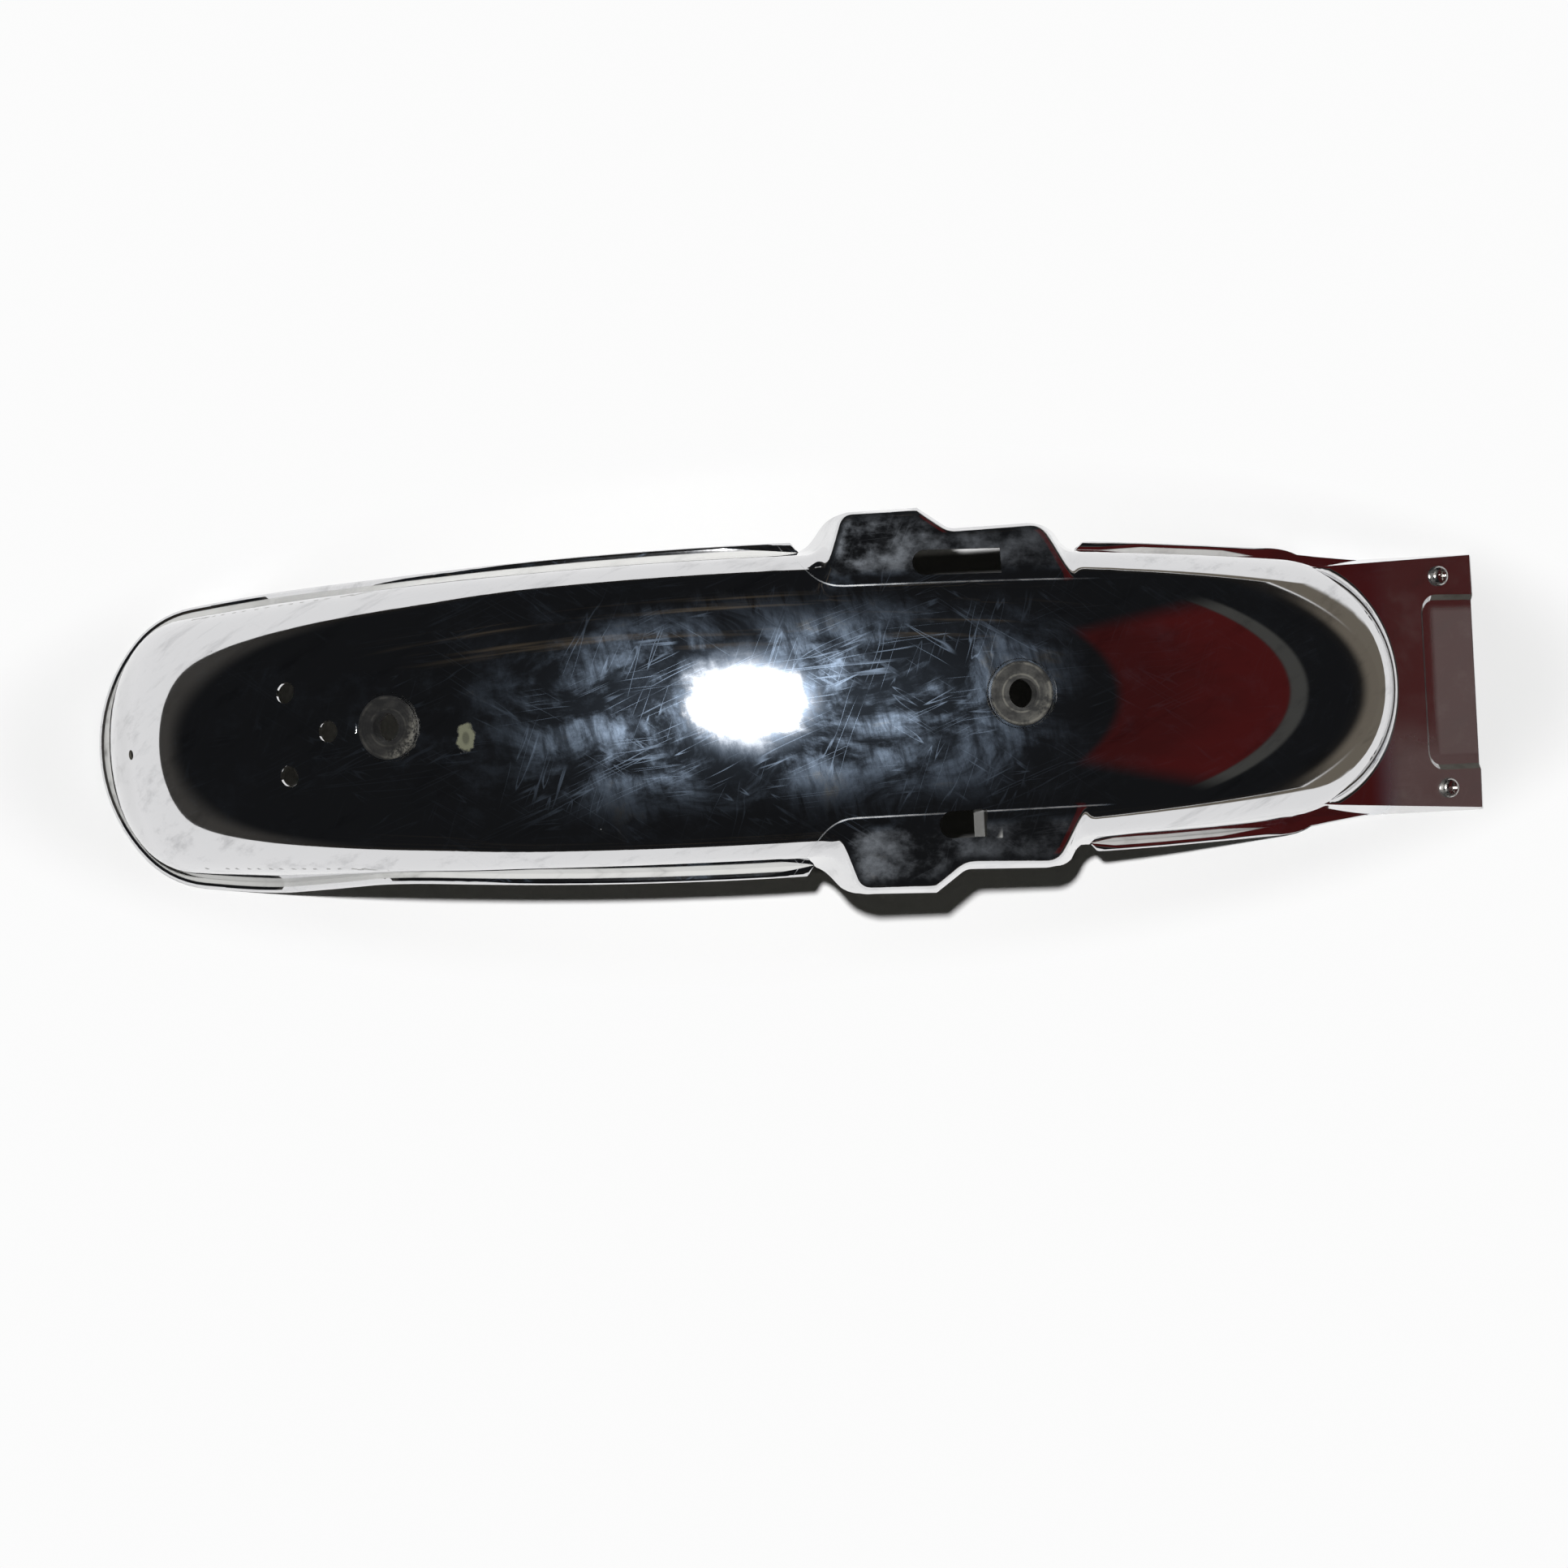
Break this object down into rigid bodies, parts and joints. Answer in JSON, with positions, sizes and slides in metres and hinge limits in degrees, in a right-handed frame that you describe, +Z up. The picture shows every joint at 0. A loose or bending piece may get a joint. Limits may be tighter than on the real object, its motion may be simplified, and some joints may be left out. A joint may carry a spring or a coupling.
{
  "type": "motorcycle rear fender",
  "caption": "Chromed pressed-steel motorcycle rear fender: arched crown with a rounded tail, slotted side ears, a flat front plate and rubber mounting bushes.",
  "frame": {"origin": "middle of the bounding box in plan, on the surface the fender lies on", "axes": "+X along the fender towards the flat front plate, +Y towards the ear with the long slot, +Z up out of the crown"},
  "size_m": [0.7943, 0.2, 0.182],
  "materials": {
    "chrome_sheet": "worn mirror chrome with fine scratches",
    "bush_rubber": "matte, scuffed",
    "plated_steel": "dull zinc plate"
  },
  "bodies": {
    "root": {"fender_shell": "chrome_sheet", "front_bush": "bush_rubber", "rear_bush": "bush_rubber", "plate_screws": "plated_steel", "plate_nuts": "plated_steel"}
  },
  "joints": []
}
